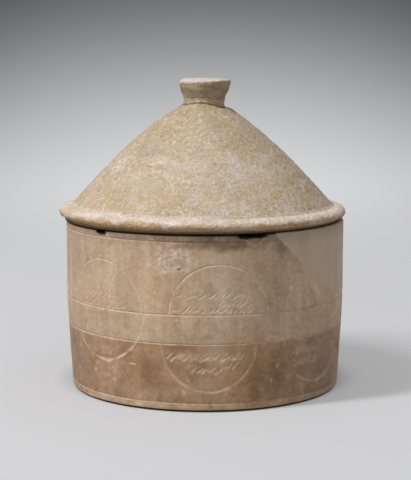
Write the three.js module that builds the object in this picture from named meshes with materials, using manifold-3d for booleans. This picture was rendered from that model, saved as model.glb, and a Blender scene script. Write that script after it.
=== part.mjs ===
// A lidded stone box: a straight-sided bowl turned from one block, a conical lid with a rolled rim
// and a flared knob, and a restorer's fill let into the bowl's wall.
// Millimetres, +Z up. The origin is the middle of the bowl's flat base, and the front faces -Y.
// An angle round the wall counts in degrees from the front, positive towards +X.
import * as THREE from 'three';
import { mergeVertices } from 'three/addons/utils/BufferGeometryUtils.js';
import Module from 'manifold-3d';

const wasm = await Module();
wasm.setup();

// Bowl
const BOWL_RADIUS = 75;
const BOWL_HEIGHT = 89.5;
const WALL_THICKNESS = 9;
const FLOOR_THICKNESS = 12;
const INSIDE_CORNER_RADIUS = 14;
const RIM_EDGE_ROUND = 0.8;
const BASE_EDGE_ROUND = 0.5;

// The wall stands upright down to the taper's top, and draws in from there to the base
const TAPER_HEIGHT = 47;
const TAPER_DRAW_IN = 2.6;
const TAPER_CURVE = 1.15;

// Turned rings round the wall
const BASE_RING_HEIGHT = 3.5;
const LOWER_RING_HEIGHT = 34.3;
const BAND_HEIGHT = 14.9;
const RIM_RING_DROP = 3.5;
const RING_WIDTH = 1.0;
const RING_DEPTH = 0.45;

// Compass-drawn medallions, stepped round the wall both ways from the front one
const MEDALLION_RADIUS = 25.5;
const MEDALLION_COUNT = 7;
const MEDALLION_PITCH_ANGLE = 50.4;
const MEDALLION_FRONT_ANGLE = 4;
const MEDALLION_HALF_SLIP_ANGLE = 1.5;
const COMPASS_LINE_WIDTH = 0.9;
const COMPASS_LINE_DEPTH = 0.4;

// Steps from the front medallion to the one struck as a whole circle, and to the one whose upper
// half was lost with the broken wall
const WHOLE_CIRCLE_STEP = -1;
const LOST_UPPER_HALF_STEP = 1;

// Restorer's fill: its broken edge runs from above the rim down and back up again, given as an
// angle and as a drop below the rim in shares of the fill's depth
const JOIN_GAP = 0.3;
const FILL_DEPTH = 38.5;
const BROKEN_EDGE = [
  { angle: 27, drop: -0.3 },
  { angle: 29, drop: 0.02 },
  { angle: 40.2, drop: 0.385 },
  { angle: 44.5, drop: 0.55 },
  { angle: 55.8, drop: 0.757 },
  { angle: 60.4, drop: 0.86 },
  { angle: 68, drop: 0.965 },
  { angle: 80, drop: 1 },
  { angle: 95, drop: 0.78 },
  { angle: 109, drop: 0.35 },
  { angle: 117, drop: 0.04 },
  { angle: 119, drop: -0.3 },
];

// Chips knocked out of the rim
const RIM_CHIPS = [
  { angle: 18.6, width: 14.6, depth: 2.3, reach: 8 },
  { angle: 19.4, width: 9.2, depth: 4.6, reach: 2.4 },
  { angle: -45, width: 7, depth: 2.6, reach: 6 },
];

// Lid
const SEAT_GAP = 0.3;
const LID_PLAY = 2.5;
const LID_DRIFT_SHARE = 0.54;
const LID_OVERHANG = 2.4;
const FLANGE_DEPTH = 6;
const FLANGE_THICKNESS = 6;
const SEAT_WIDTH = 10.9;
const BEAD_CLEARANCE = 0.9;
const BEAD_WIDTH = 12.4;
const BEAD_HEIGHT = 6.4;
const BEAD_VALLEY_ANGLE = 96;
const CONE_RISE = 56.13;
const CROWN_THICKNESS = 20;

// The cone's swell: where its curve's two handles stand, as shares of its width and rise
const FOOT_HANDLE = { inward: 0.258, up: 0.389 };
const CROWN_HANDLE = { outward: 0.219, above: 0.042 };

// Knob
const KNOB_HEIGHT = 11.6;
const KNOB_TOP_RADIUS = 13.5;
const KNOB_WAIST_RADIUS = 10.85;
const KNOB_ROOT_DEPTH = 6;
const KNOB_DOME_HEIGHT = 1.8;
const KNOB_SHIFT_X = 1.35;
const KNOB_SHIFT_Y = 1.0;

// The flare's swell: how high its curve's two handles stand, as shares of its height
const FLARE_HANDLE = { waist: 0.32, edge: 0.45 };

// Fineness of the facets
const TURNED_SEGMENTS = 72;
const CORNER_STEPS = 4;
const BEAD_STEPS = 9;
const CONE_STEPS = 10;
const HOLLOW_STEPS = 7;
const FLARE_STEPS = 6;
const DOME_STEPS = 4;
const EDGE_STEPS = 30;
const BEND_STEPS = 15;
const ARC_STEPS = 20;
const TAPER_STEPS = 4;

// Sizes that follow from the ones above
const MOUTH_RADIUS = BOWL_RADIUS - WALL_THICKNESS;
const UPPER_RING_HEIGHT = LOWER_RING_HEIGHT + BAND_HEIGHT;
const RIM_RING_HEIGHT = BOWL_HEIGHT - RIM_RING_DROP;
const SEAT_HEIGHT = BOWL_HEIGHT + SEAT_GAP;
const LID_SHIFT = -LID_PLAY * LID_DRIFT_SHARE;
const FLANGE_RADIUS = MOUTH_RADIUS - LID_PLAY;
const FLANGE_INNER_RADIUS = FLANGE_RADIUS - FLANGE_THICKNESS;
const BEAD_CENTRE_RADIUS = BOWL_RADIUS + LID_OVERHANG - BEAD_WIDTH / 2;
const SEAT_RADIUS = FLANGE_RADIUS + SEAT_WIDTH;
const BEAD_CENTRE_HEIGHT = SEAT_HEIGHT + BEAD_CLEARANCE + BEAD_HEIGHT / 2;
const BEAD_FOOT = -Math.acos((SEAT_RADIUS - BEAD_CENTRE_RADIUS) / (BEAD_WIDTH / 2));
const BEAD_VALLEY = THREE.MathUtils.degToRad(BEAD_VALLEY_ANGLE);
const VALLEY = beadPoint(BEAD_VALLEY);
const CROWN_HEIGHT = VALLEY.y + CONE_RISE;

// Outer radius of the plain wall at a height
function wallRadius(height) {
  const below = Math.max(0, TAPER_HEIGHT - height) / TAPER_HEIGHT;
  return BOWL_RADIUS - TAPER_DRAW_IN * below ** TAPER_CURVE;
}

// A point at an angle round the axis, in degrees from the front
function around(angle, radius, height) {
  const turn = THREE.MathUtils.degToRad(angle);
  return new THREE.Vector3(radius * Math.sin(turn), -radius * Math.cos(turn), height);
}

// A point on the lid's rolled rim, by the angle up from straight outwards
function beadPoint(angle) {
  return new THREE.Vector2(
    BEAD_CENTRE_RADIUS + (BEAD_WIDTH / 2) * Math.cos(angle),
    BEAD_CENTRE_HEIGHT + (BEAD_HEIGHT / 2) * Math.sin(angle),
  );
}

// The swelling cone's outline, from its foot to the top on the axis
function coneOutline(foot, rise, steps) {
  const top = new THREE.Vector2(0, foot.y + rise);
  const footHandle = new THREE.Vector2(
    foot.x * (1 - FOOT_HANDLE.inward),
    foot.y + rise * FOOT_HANDLE.up,
  );
  const crownHandle = new THREE.Vector2(
    foot.x * CROWN_HANDLE.outward,
    top.y + rise * CROWN_HANDLE.above,
  );
  return new THREE.CubicBezierCurve(foot, footHandle, crownHandle, top).getPoints(steps);
}

// A closed solid turned about the vertical axis
function turned(outline) {
  return toSolid(new THREE.LatheGeometry(outline, TURNED_SEGMENTS).rotateX(Math.PI / 2));
}

// Welds a closed geometry's shared corners and gives it as a solid
function toSolid(geometry) {
  geometry.deleteAttribute('normal');
  geometry.deleteAttribute('uv');
  const welded = mergeVertices(geometry);
  const corners = welded.index.array;
  const triangles = [];
  for (let i = 0; i < corners.length; i += 3) {
    const [a, b, c] = corners.slice(i, i + 3);
    if (a !== b && b !== c && c !== a) triangles.push(a, b, c);
  }
  return new wasm.Manifold(new wasm.Mesh({
    numProp: 3,
    vertProperties: Float32Array.from(welded.attributes.position.array),
    triVerts: Uint32Array.from(triangles),
  }));
}

// A solid as a named mesh with its own finish
function piece(name, solid, colour, roughness) {
  const { vertProperties, triVerts } = solid.getMesh();
  const geometry = new THREE.BufferGeometry();
  geometry.setAttribute('position', new THREE.BufferAttribute(vertProperties, 3));
  geometry.setIndex(new THREE.BufferAttribute(triVerts, 1));
  geometry.computeVertexNormals();
  const mesh = new THREE.Mesh(
    geometry,
    new THREE.MeshStandardMaterial({ color: colour, roughness, metalness: 0 }),
  );
  mesh.name = name;
  return mesh;
}

// The bowl's outline from the middle of its base, up the wall, over the rim and down inside
function bowlOutline(ringHeights) {
  const wall = [];
  for (let i = 1; i < TAPER_STEPS; i += 1) {
    const height = (TAPER_HEIGHT * i) / TAPER_STEPS;
    wall.push(new THREE.Vector2(wallRadius(height), height));
  }
  wall.push(new THREE.Vector2(wallRadius(TAPER_HEIGHT), TAPER_HEIGHT));
  const clear = wall.filter((point) => (
    ringHeights.every((height) => Math.abs(point.y - height) > RING_WIDTH)
  ));
  for (const height of ringHeights) {
    const half = RING_WIDTH / 2;
    clear.push(new THREE.Vector2(wallRadius(height - half), height - half));
    clear.push(new THREE.Vector2(wallRadius(height) - RING_DEPTH, height));
    clear.push(new THREE.Vector2(wallRadius(height + half), height + half));
  }
  clear.sort((low, high) => low.y - high.y);

  const corner = [];
  for (let i = 0; i <= CORNER_STEPS; i += 1) {
    const turn = (Math.PI / 2) * (i / CORNER_STEPS);
    corner.push(new THREE.Vector2(
      MOUTH_RADIUS - INSIDE_CORNER_RADIUS * (1 - Math.cos(turn)),
      FLOOR_THICKNESS + INSIDE_CORNER_RADIUS * (1 - Math.sin(turn)),
    ));
  }
  return [
    new THREE.Vector2(0, 0),
    new THREE.Vector2(wallRadius(0) - BASE_EDGE_ROUND, 0),
    new THREE.Vector2(wallRadius(BASE_EDGE_ROUND), BASE_EDGE_ROUND),
    ...clear,
    new THREE.Vector2(BOWL_RADIUS, BOWL_HEIGHT - RIM_EDGE_ROUND),
    new THREE.Vector2(BOWL_RADIUS - RIM_EDGE_ROUND, BOWL_HEIGHT),
    new THREE.Vector2(MOUTH_RADIUS + RIM_EDGE_ROUND, BOWL_HEIGHT),
    new THREE.Vector2(MOUTH_RADIUS, BOWL_HEIGHT - RIM_EDGE_ROUND),
    ...corner,
    new THREE.Vector2(0, FLOOR_THICKNESS),
  ];
}

// The path of a compass line on the wall: part of a circle about a point on the wall
class CompassArc extends THREE.Curve {
  constructor(angle, height, lift, start, sweep) {
    super();
    Object.assign(this, { angle, height, lift, start, sweep });
  }

  getPoint(share) {
    const turn = this.start + this.sweep * share;
    const along = MEDALLION_RADIUS * Math.cos(turn);
    const height = this.height + MEDALLION_RADIUS * Math.sin(turn);
    const angle = this.angle + THREE.MathUtils.radToDeg(along / BOWL_RADIUS);
    return around(angle, wallRadius(height) + this.lift, height);
  }
}

// The round cutter that scores one compass line
function compassCutter(angle, height, start, sweep) {
  const half = COMPASS_LINE_WIDTH / 2;
  const toolRadius = (half ** 2 + COMPASS_LINE_DEPTH ** 2) / (2 * COMPASS_LINE_DEPTH);
  const path = new CompassArc(angle, height, toolRadius - COMPASS_LINE_DEPTH, start, sweep);
  const section = new THREE.Shape().absarc(0, 0, toolRadius, 0, Math.PI * 2);
  return toSolid(new THREE.ExtrudeGeometry(section, {
    extrudePath: path,
    steps: ARC_STEPS,
    curveSegments: 3,
  }));
}

// Each medallion is two half circles: one stands on the upper ring, one hangs from the lower
function medallionCutters() {
  const cutters = [];
  for (let i = 0; i < MEDALLION_COUNT; i += 1) {
    const step = i - Math.floor(MEDALLION_COUNT / 2);
    const angle = MEDALLION_FRONT_ANGLE + MEDALLION_PITCH_ANGLE * step;
    const upper = angle + MEDALLION_HALF_SLIP_ANGLE;
    const lower = angle - MEDALLION_HALF_SLIP_ANGLE;
    const lowerCentre = step === WHOLE_CIRCLE_STEP ? UPPER_RING_HEIGHT : LOWER_RING_HEIGHT;
    if (step !== LOST_UPPER_HALF_STEP) {
      cutters.push(compassCutter(upper, UPPER_RING_HEIGHT, 0, Math.PI));
    }
    cutters.push(compassCutter(lower, lowerCentre, Math.PI, Math.PI));
  }
  return cutters;
}

// The block that the restorer's fill takes out of the wall, with its broken edge moved outwards
function fillBlock(spread) {
  const edge = new THREE.SplineCurve(BROKEN_EDGE.map(({ angle, drop }) => new THREE.Vector2(
    THREE.MathUtils.degToRad(angle) * BOWL_RADIUS,
    BOWL_HEIGHT - FILL_DEPTH * drop,
  )));
  const outline = [];
  for (let i = 0; i <= EDGE_STEPS; i += 1) {
    const share = i / EDGE_STEPS;
    const tangent = edge.getTangent(share);
    const outwards = new THREE.Vector2(tangent.y, -tangent.x);
    outline.push(edge.getPoint(share).addScaledVector(outwards, spread));
  }
  // The flat block is bent round the axis, so its sides run straight out from it
  const innerRadius = MOUTH_RADIUS / 2;
  const outerRadius = BOWL_RADIUS * 2;
  const block = new THREE.ExtrudeGeometry(new THREE.Shape(outline), {
    depth: outerRadius - innerRadius,
    steps: BEND_STEPS,
    bevelEnabled: false,
  });
  const corners = block.attributes.position;
  for (let i = 0; i < corners.count; i += 1) {
    const angle = THREE.MathUtils.radToDeg(corners.getX(i) / BOWL_RADIUS);
    const bent = around(angle, innerRadius + corners.getZ(i), corners.getY(i));
    corners.setXYZ(i, bent.x, bent.y, bent.z);
  }
  return toSolid(block);
}

// A rough lump that takes a chip off the rim's outer edge
function chipCutter({ angle, width, depth, reach }) {
  const lump = new THREE.IcosahedronGeometry(1, 1).scale(width / 2, reach, depth);
  lump.rotateZ(THREE.MathUtils.degToRad(angle));
  const place = around(angle, BOWL_RADIUS, BOWL_HEIGHT);
  return toSolid(lump.translate(place.x, place.y, place.z));
}

function makeBowl() {
  const rings = [BASE_RING_HEIGHT, LOWER_RING_HEIGHT, UPPER_RING_HEIGHT, RIM_RING_HEIGHT];
  const cutters = [...medallionCutters(), ...RIM_CHIPS.map(chipCutter), fillBlock(JOIN_GAP)];
  return cutters.reduce((bowl, cutter) => bowl.subtract(cutter), turned(bowlOutline(rings)));
}

function makeWallFill() {
  return turned(bowlOutline([])).intersect(fillBlock(0));
}

// The lid's outline from the top of its hollow, down to the flange, over the seat, up to the foot of
// the bead, round the bead and up the cone
function lidOutline() {
  const hollowFoot = new THREE.Vector2(FLANGE_INNER_RADIUS, SEAT_HEIGHT);
  const hollowRise = CROWN_HEIGHT - CROWN_THICKNESS - SEAT_HEIGHT;
  const bead = [];
  for (let i = 0; i < BEAD_STEPS; i += 1) {
    bead.push(beadPoint(THREE.MathUtils.lerp(BEAD_FOOT, BEAD_VALLEY, i / BEAD_STEPS)));
  }
  return [
    ...coneOutline(hollowFoot, hollowRise, HOLLOW_STEPS).reverse(),
    new THREE.Vector2(FLANGE_INNER_RADIUS, SEAT_HEIGHT - FLANGE_DEPTH),
    new THREE.Vector2(FLANGE_RADIUS, SEAT_HEIGHT - FLANGE_DEPTH),
    new THREE.Vector2(FLANGE_RADIUS, SEAT_HEIGHT),
    new THREE.Vector2(SEAT_RADIUS, SEAT_HEIGHT),
    ...bead,
    ...coneOutline(VALLEY, CONE_RISE, CONE_STEPS),
  ];
}

// The knob's outline: a root sunk in the crown, a waist, a flare and a low domed top
function knobOutline() {
  const edgeHeight = CROWN_HEIGHT + KNOB_HEIGHT - KNOB_DOME_HEIGHT;
  const rise = edgeHeight - CROWN_HEIGHT;
  const flare = new THREE.CubicBezierCurve(
    new THREE.Vector2(KNOB_WAIST_RADIUS, CROWN_HEIGHT),
    new THREE.Vector2(KNOB_WAIST_RADIUS, CROWN_HEIGHT + rise * FLARE_HANDLE.waist),
    new THREE.Vector2(KNOB_TOP_RADIUS, CROWN_HEIGHT + rise * FLARE_HANDLE.edge),
    new THREE.Vector2(KNOB_TOP_RADIUS, edgeHeight),
  );
  const dome = new THREE.QuadraticBezierCurve(
    new THREE.Vector2(KNOB_TOP_RADIUS, edgeHeight),
    new THREE.Vector2(KNOB_TOP_RADIUS, edgeHeight + KNOB_DOME_HEIGHT),
    new THREE.Vector2(0, edgeHeight + KNOB_DOME_HEIGHT),
  );
  return [
    new THREE.Vector2(0, CROWN_HEIGHT - KNOB_ROOT_DEPTH),
    new THREE.Vector2(KNOB_WAIST_RADIUS, CROWN_HEIGHT - KNOB_ROOT_DEPTH),
    ...flare.getPoints(FLARE_STEPS),
    ...dome.getPoints(DOME_STEPS).slice(1),
  ];
}

function makeLid() {
  const knob = turned(knobOutline()).translate([KNOB_SHIFT_X, KNOB_SHIFT_Y, 0]);
  return turned(lidOutline()).add(knob);
}

const bowl = piece('bowl', makeBowl(), 0xb59a7c, 0.5);
const wallFill = piece('wall_fill', makeWallFill(), 0xad9a86, 0.6);
const lid = piece('lid', makeLid(), 0xb7a283, 0.75);
lid.position.x = LID_SHIFT;

const stoneBox = new THREE.Group();
stoneBox.name = 'lidded_stone_box';
stoneBox.add(bowl, wallFill, lid);

export default stoneBox;
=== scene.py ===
# The looks of a lidded stone box: a scored stone bowl, the restorer's fill let into its wall, and a
# grainy stone lid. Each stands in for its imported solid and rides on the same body.
# Shapes are worked out in millimetres and become metres when a mesh is made. An angle round the wall
# counts in degrees from the front, positive towards +X. A place on the unrolled wall is (along, height),
# where along is that angle as a length on the bowl's outside.
import math
from collections import namedtuple

import bmesh
import bpy
import numpy as np
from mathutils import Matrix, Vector, geometry, kdtree, noise


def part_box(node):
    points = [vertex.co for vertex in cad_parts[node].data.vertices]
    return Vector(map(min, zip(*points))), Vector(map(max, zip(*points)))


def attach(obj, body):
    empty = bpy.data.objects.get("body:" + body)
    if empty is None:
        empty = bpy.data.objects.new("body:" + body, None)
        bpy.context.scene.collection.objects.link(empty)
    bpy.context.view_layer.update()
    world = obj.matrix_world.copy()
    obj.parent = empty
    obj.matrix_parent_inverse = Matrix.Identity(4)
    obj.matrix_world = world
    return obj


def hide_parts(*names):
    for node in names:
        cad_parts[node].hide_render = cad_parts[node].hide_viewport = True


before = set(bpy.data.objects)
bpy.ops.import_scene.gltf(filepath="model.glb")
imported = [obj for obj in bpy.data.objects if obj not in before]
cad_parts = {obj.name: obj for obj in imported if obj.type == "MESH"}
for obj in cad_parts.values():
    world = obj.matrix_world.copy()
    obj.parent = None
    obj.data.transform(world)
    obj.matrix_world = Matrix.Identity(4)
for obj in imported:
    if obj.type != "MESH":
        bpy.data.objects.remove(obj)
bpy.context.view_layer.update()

MM = 0.001
rng = np.random.default_rng(11)


def rgb(red, green, blue):
    """A colour as a socket takes it."""
    return (red, green, blue, 1.0)


# Sizes read from the frame
_, bowl_high = (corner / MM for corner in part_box("bowl"))
lid_low, lid_high = (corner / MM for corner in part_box("lid"))
BOWL_RADIUS = bowl_high.x
BOWL_HEIGHT = bowl_high.z
LID_RADIUS = (lid_high.x - lid_low.x) / 2
LID_CENTRE = np.array([(lid_high.x + lid_low.x) / 2, (lid_high.y + lid_low.y) / 2])
FLANGE_BOTTOM = lid_low.z
KNOB_TOP = lid_high.z

# Bowl
WALL_THICKNESS = 9
FLOOR_THICKNESS = 12
INSIDE_CORNER_RADIUS = 14
RIM_EDGE_ROUND = 0.8
BASE_EDGE_HEIGHT = 0.1
BASE_EDGE_ROUND = 0.25
BASE_BEVEL_WIDTH = 6
RIM_WEAR = 0.12
TAPER_HEIGHT = 47
TAPER_DRAW_IN = 2.6
TAPER_CURVE = 1.15
MOUTH_RADIUS = BOWL_RADIUS - WALL_THICKNESS
HALF_ROUND = math.pi * BOWL_RADIUS

# Turned rings
LOWER_RING = 34.3
UPPER_RING = 49.2
RIM_RING = 86
RING_HEIGHTS = [3.5, LOWER_RING, UPPER_RING, RIM_RING]
RING_HALF_WIDTH = 0.5
RING_DEPTH = 0.5
RING_DUST = 0.75
RING_WAVER = 0.12

# Half circles struck by compass: first angle up from the right, half width and depth of the line, its
# dust, and the share of that dust at both ends
HalfCircle = namedtuple("HalfCircle", "radius first half depth dust ends")
UPPER_HALF = HalfCircle(25.5, 0, 0.6, 0.35, 0.8, 1)
LOWER_HALF = HalfCircle(24.6, 180, 1.1, 0.3, 0.85, 0.3)
WHOLE_LOWER_HALF = HalfCircle(26.6, 180, 1.0, 0.3, 0.9, 0.5)
COMPASS_WAVER = 0.25
OTHER_NOISE = 50

# Medallions, stepped round the wall both ways from the front one
MEDALLION_STEPS = range(-3, 4)
MEDALLION_PITCH = 50.4
MEDALLION_FRONT = 4
UPPER_SLIP = 1.5
LOWER_SLIP = -2.5
WHOLE_CIRCLE_STEP = -1
LOST_UPPER_HALF_STEP = 1

# Rows of short tool marks inside the medallions: first and last angle from the medallion's middle,
# and the row's height above the upper ring or below the lower one
ToolRow = namedtuple("ToolRow", "first last offset")
UPPER_ROWS = [ToolRow(-18, 13, 3.2), ToolRow(0, 15, 6.6), ToolRow(-17, 9, 11)]
LOWER_ROWS = [ToolRow(-17, 13, -6.2), ToolRow(-6, 5, -13), ToolRow(6, 11, -10.5)]
LEFT_UPPER_ROWS = [ToolRow(-11, 13, 3), ToolRow(-9, 11, 8.6)]
LEFT_LOWER_ROWS = [ToolRow(-7, 9, -6.2)]
RIGHT_LOWER_ROWS = [ToolRow(-16, 2, -6.2), ToolRow(-13, 0, -12.5)]
TOOL_PITCH = 2.1
TOOL_HALF_WIDTH = 1.0
TOOL_DEPTH = 0.5
TOOL_LENGTHS = (2.4, 4.4)
TOOL_SLANTS = (32, 58)
TOOL_BENDS = (-5, 30)
TOOL_FORCES = (0.3, 1)
TOOL_DRIFT = 0.3
TOOL_STRAY = 0.9
TOOL_LOW_END = 1.6
FINE_TOOL = 0.72
COARSE_TOOL = 1
FINE_TOOL_DUST = 0.8
FRONT_DUST = 1
SIDE_DUST = 0.55

# Restorer's fill: its broken edge as an angle and as a drop below the rim in shares of its depth
FILL_DEPTH = 38.5
BROKEN_EDGE = [
    (27, -0.3), (29, 0.02), (40.2, 0.385), (44.5, 0.55), (55.8, 0.757), (60.4, 0.86),
    (68, 0.965), (80, 1), (95, 0.78), (109, 0.35), (117, 0.04), (119, -0.3),
]
FILL_SPREAD = 0.1
BREAK_SPREAD = 0.2
EDGE_STEPS = 160
EDGE_RAGGEDNESS = 0.45
JOIN_HALF_WIDTH = 0.9
JOIN_DUST = 0.6
FILL_PROUD = 0.06

# Chips knocked out of the rim
Chip = namedtuple("Chip", "angle width depth reach")
RIM_CHIPS = [Chip(18.6, 14.6, 2.6, 8), Chip(19.4, 9.6, 4.9, 2.8), Chip(-45, 7, 2.7, 6)]
CHIP_ROUGHNESS = 0.14

# Marks on the wall: middle, half sizes and strength
Mark = namedtuple("Mark", "angle height wide tall strength")
CHALK_AND_SHEEN_MARKS = [
    # Pale chalk marks; those at -42.5° and -44.7° are painted highlights, and the tall one at -71° is a
    # painted sheen along the left edge
    Mark(-42.5, 21.9, 2.4, 0.8, 1.0),
    Mark(-30.1, 22.4, 2.6, 0.5, 0.8),
    Mark(-50.6, 15.9, 1.0, 1.4, 0.7),
    Mark(-9.5, 28.3, 2.6, 1.8, 0.5),
    Mark(-28.2, 1.9, 2.2, 0.8, 0.5),
    Mark(35.7, 61.3, 1.3, 1.0, 0.8),
    Mark(-44.7, 48.7, 1.7, 0.8, 0.8),
    Mark(-54.9, 37.6, 0.6, 2.4, 0.6),
    Mark(-24.5, 37.8, 5.0, 2.6, 0.35),
    Mark(-10.9, 46.6, 1.0, 1.0, 0.6),
    Mark(-46.7, 87.0, 1.6, 0.8, 0.7),
    Mark(-41.4, 87.6, 1.1, 0.7, 0.9),
    Mark(-21.2, 87.3, 2.4, 0.8, 0.6),
    Mark(29.9, 21.4, 0.9, 1.4, 0.5),
    Mark(27.4, 13.8, 0.9, 1.3, 0.5),
    Mark(-39.2, 12.9, 2.2, 1.0, 0.4),
    Mark(-6.8, 15.6, 1.4, 1.2, 0.4),
    Mark(-8.5, 9.2, 1.3, 2.2, 0.5),
    # Painted sheen along the left edge
    Mark(-71, 62, 1.6, 24, 0.4),
    Mark(-49, 20, 2, 1, 0.3),
    Mark(-44, 14.5, 3.4, 1.2, 0.35),
    Mark(-46, 28.4, 9, 2, 0.25),
    Mark(2, 28, 17, 2.6, 0.3),
    Mark(43, 28, 8, 2.4, 0.2),
]
STAIN_AND_SHADE_MARKS = [
    Mark(2.3, 2.4, 1.1, 2.8, 0.8),
    Mark(1.5, 38.2, 2.5, 1.6, 0.5),
    Mark(-16.7, 12.3, 5, 3, 0.35),
    Mark(-31.7, 28, 1.7, 1.3, 0.7),
    # The last three marks lie just under the rim: painted shadow of the lid's rolled rim
    Mark(-21.5, 87.3, 24, 1.7, 0.5),
    Mark(9, 87, 30, 6, 0.9),
    Mark(31, 84, 9, 5, 0.4),
]
# Broad tones over the wall; the lighter marks near 6° and the darker ones near 18° to 31° are partly painted
# light and shade, where the light falls off across the front
Tone = namedtuple("Tone", "name colour marks")
TONES = [
    Tone("lighter", rgb(0.76, 0.62, 0.50), [
        Mark(-52, 76, 22, 12, 0.35),
        Mark(-46, 40, 12, 6, 0.35),
        Mark(-42, 13, 7, 10, 0.3),
        Mark(2, 11, 9, 9, 0.35),
        Mark(-25, 5, 12, 6, 0.3),
        # Partly painted light: this tall band and the next mark
        Mark(6, 45, 5, 40, 0.5),
        Mark(7, 57, 6, 9, 0.7),
        Mark(-30, 77, 4, 6, 0.3),
    ]),
    Tone("darker", rgb(0.14, 0.08, 0.040), [
        Mark(-68, 14, 12, 24, 0.6),
        Mark(-56, 17, 5, 8, 0.3),
        Mark(-23, 19, 5, 9, 0.75),
        Mark(42, 6, 26, 7, 0.45),
        Mark(-18, 29, 6, 5, 0.3),
        Mark(-5, 19, 6, 6, 0.4),
        # Partly painted shade: these two marks and the one under the rim after them
        Mark(20, 16, 7, 15, 1.1),
        Mark(30, 19, 8, 12, 1.1),
        Mark(31, 82, 7, 7, 0.6),
        Mark(-7, 76, 8, 12, 0.25),
        Mark(25, 62, 11, 22, 0.25),
        Mark(54, 13, 20, 14, 0.75),
        Mark(18, 42, 7, 12, 0.15),
    ]),
    Tone("rusty", rgb(0.60, 0.36, 0.175), [
        Mark(16, 24, 12, 14, 0.5),
        Mark(6, 15, 7, 12, 0.4),
        Mark(-12, 57, 9, 10, 0.35),
        Mark(-21, 62, 6, 8, 0.5),
        Mark(-16, 83, 6, 4, 0.3),
    ]),
    Tone("ashen", rgb(0.325, 0.245, 0.198), [
        Mark(56, 20, 22, 20, 0.75),
        Mark(-68, 16, 14, 20, 0.45),
        Mark(-64, 76, 14, 14, 0.4),
        Mark(44, 29, 9, 6, 0.3),
    ]),
]
WORN_PATCH = Mark(-14, 78, 12.5, 9, 1)
WORN_DEPTH = 0.12
WORN_ROUGHNESS = 0.5
PIT = Mark(-9.7, 72.1, 1.5, 1.3, 1)
PIT_DEPTH = 0.6
PIT_LIP = 0.22
CHALK_DEPTH = 0.12

# Marks made up for the side that the camera does not see
Scatter = namedtuple("Scatter", "count wide tall strength")
UNSEEN_CHALK = Scatter(22, 1.6, 1.1, 0.8)
UNSEEN_STAINS = Scatter(12, 4.5, 3.5, 0.7)
UNSEEN_ANGLES = (75, 285)
UNSEEN_HEIGHTS = (5, 84)

# Heights between which the wall gets painted shade under the lid's overhang, and how dark it gets
UNDER_LID = (81, 88.5)
UNDER_LID_SHADE = 0.2

# Marks on the lid, and its softly paler middle
OCHRE_MARKS = [
    Mark(-70, 94.4, 14, 3.4, 0.5),
    Mark(-41.5, 94.0, 7, 2.4, 0.9),
    Mark(-24.5, 93.9, 11, 2.3, 0.95),
    Mark(-1.5, 93.6, 12, 2.2, 0.95),
    Mark(27.4, 93.2, 14.3, 1.8, 0.5),
    Mark(-57.5, 116.6, 2.4, 1.2, 1.0),
    Mark(-17.5, 107.2, 13, 4.2, 0.55),
    Mark(-48, 105, 9, 4, 0.35),
]
GREY_MARKS = [
    Mark(-42.1, 128.8, 12, 5, 0.5),
    Mark(45, 131.2, 6, 2.4, 0.7),
    Mark(-54.4, 93.2, 2, 1, 0.6),
    Mark(12, 140, 14, 4, 0.35),
]
PALE_MARKS = [
    Mark(-12.7, 95.0, 3.8, 1.8, 0.9),
    Mark(-14, 93.6, 1.4, 1.1, 0.8),
    Mark(-61.7, 120.4, 10, 4, 0.5),
    Mark(-30, 124, 9, 3, 0.45),
    Mark(-4, 143, 5, 2, 0.5),
]
LID_GLOW = [Mark(2, 118, 32, 20, 0.33)]

# Lid
SEAT_HEIGHT = 89.8
FLANGE_RADIUS = 63.5
FLANGE_INNER_RADIUS = 57.5
SEAT_RADIUS = 74.4
BEAD_CLEARANCE = 0.9
BEAD_WIDTH = 12.4
BEAD_HEIGHT = 6.4
BEAD_VALLEY_ANGLE = 96
BEAD_CENTRE = np.array([LID_RADIUS - BEAD_WIDTH / 2, SEAT_HEIGHT + BEAD_CLEARANCE + BEAD_HEIGHT / 2])
BEAD_FOOT_ANGLE = -math.degrees(math.acos((SEAT_RADIUS - BEAD_CENTRE[0]) / (BEAD_WIDTH / 2)))
VALLEY_ROUNDS = 2
VALLEY_REACH = 4
CROWN_THICKNESS = 20
FOOT_HANDLE = (0.258, 0.389)
CROWN_HANDLE = (0.219, 0.042)
LID_LEAN = 0.22
LID_PIT_DEPTH = 0.15

# Knob
KNOB_HEIGHT = 11.6
KNOB_TOP_RADIUS = 13.5
KNOB_WAIST_RADIUS = 10.85
KNOB_DOME_HEIGHT = 1.8
FLARE_HANDLES = (0.32, 0.45)
KNOB_SHIFT = np.array([1.35, 1.0])
KNOB_LEAN = 0.75
GROOVE_WIDTH = 1.2
GROOVE_DEPTH = 0.4
RIDGE_RADIUS = 0.6
RIDGE_HEIGHT = 0.75
FOOT_DROP = 1.5
FOOT_LIFT = 0.6
COLLAR_LIFT = 1.2
CROWN_HEIGHT = KNOB_TOP - KNOB_HEIGHT

# Unevenness of the surfaces: the depth and size of each wave
WALL_WAVES = [(0.14, 26), (0.03, 5)]
INSIDE_WAVES = [(0.2, 16)]
FILL_WAVES = [(0.1, 18), (0.02, 3)]
LID_WAVES = [(0.25, 34), (0.12, 9), (0.18, 2.6), (0.15, 1.3)]

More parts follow.
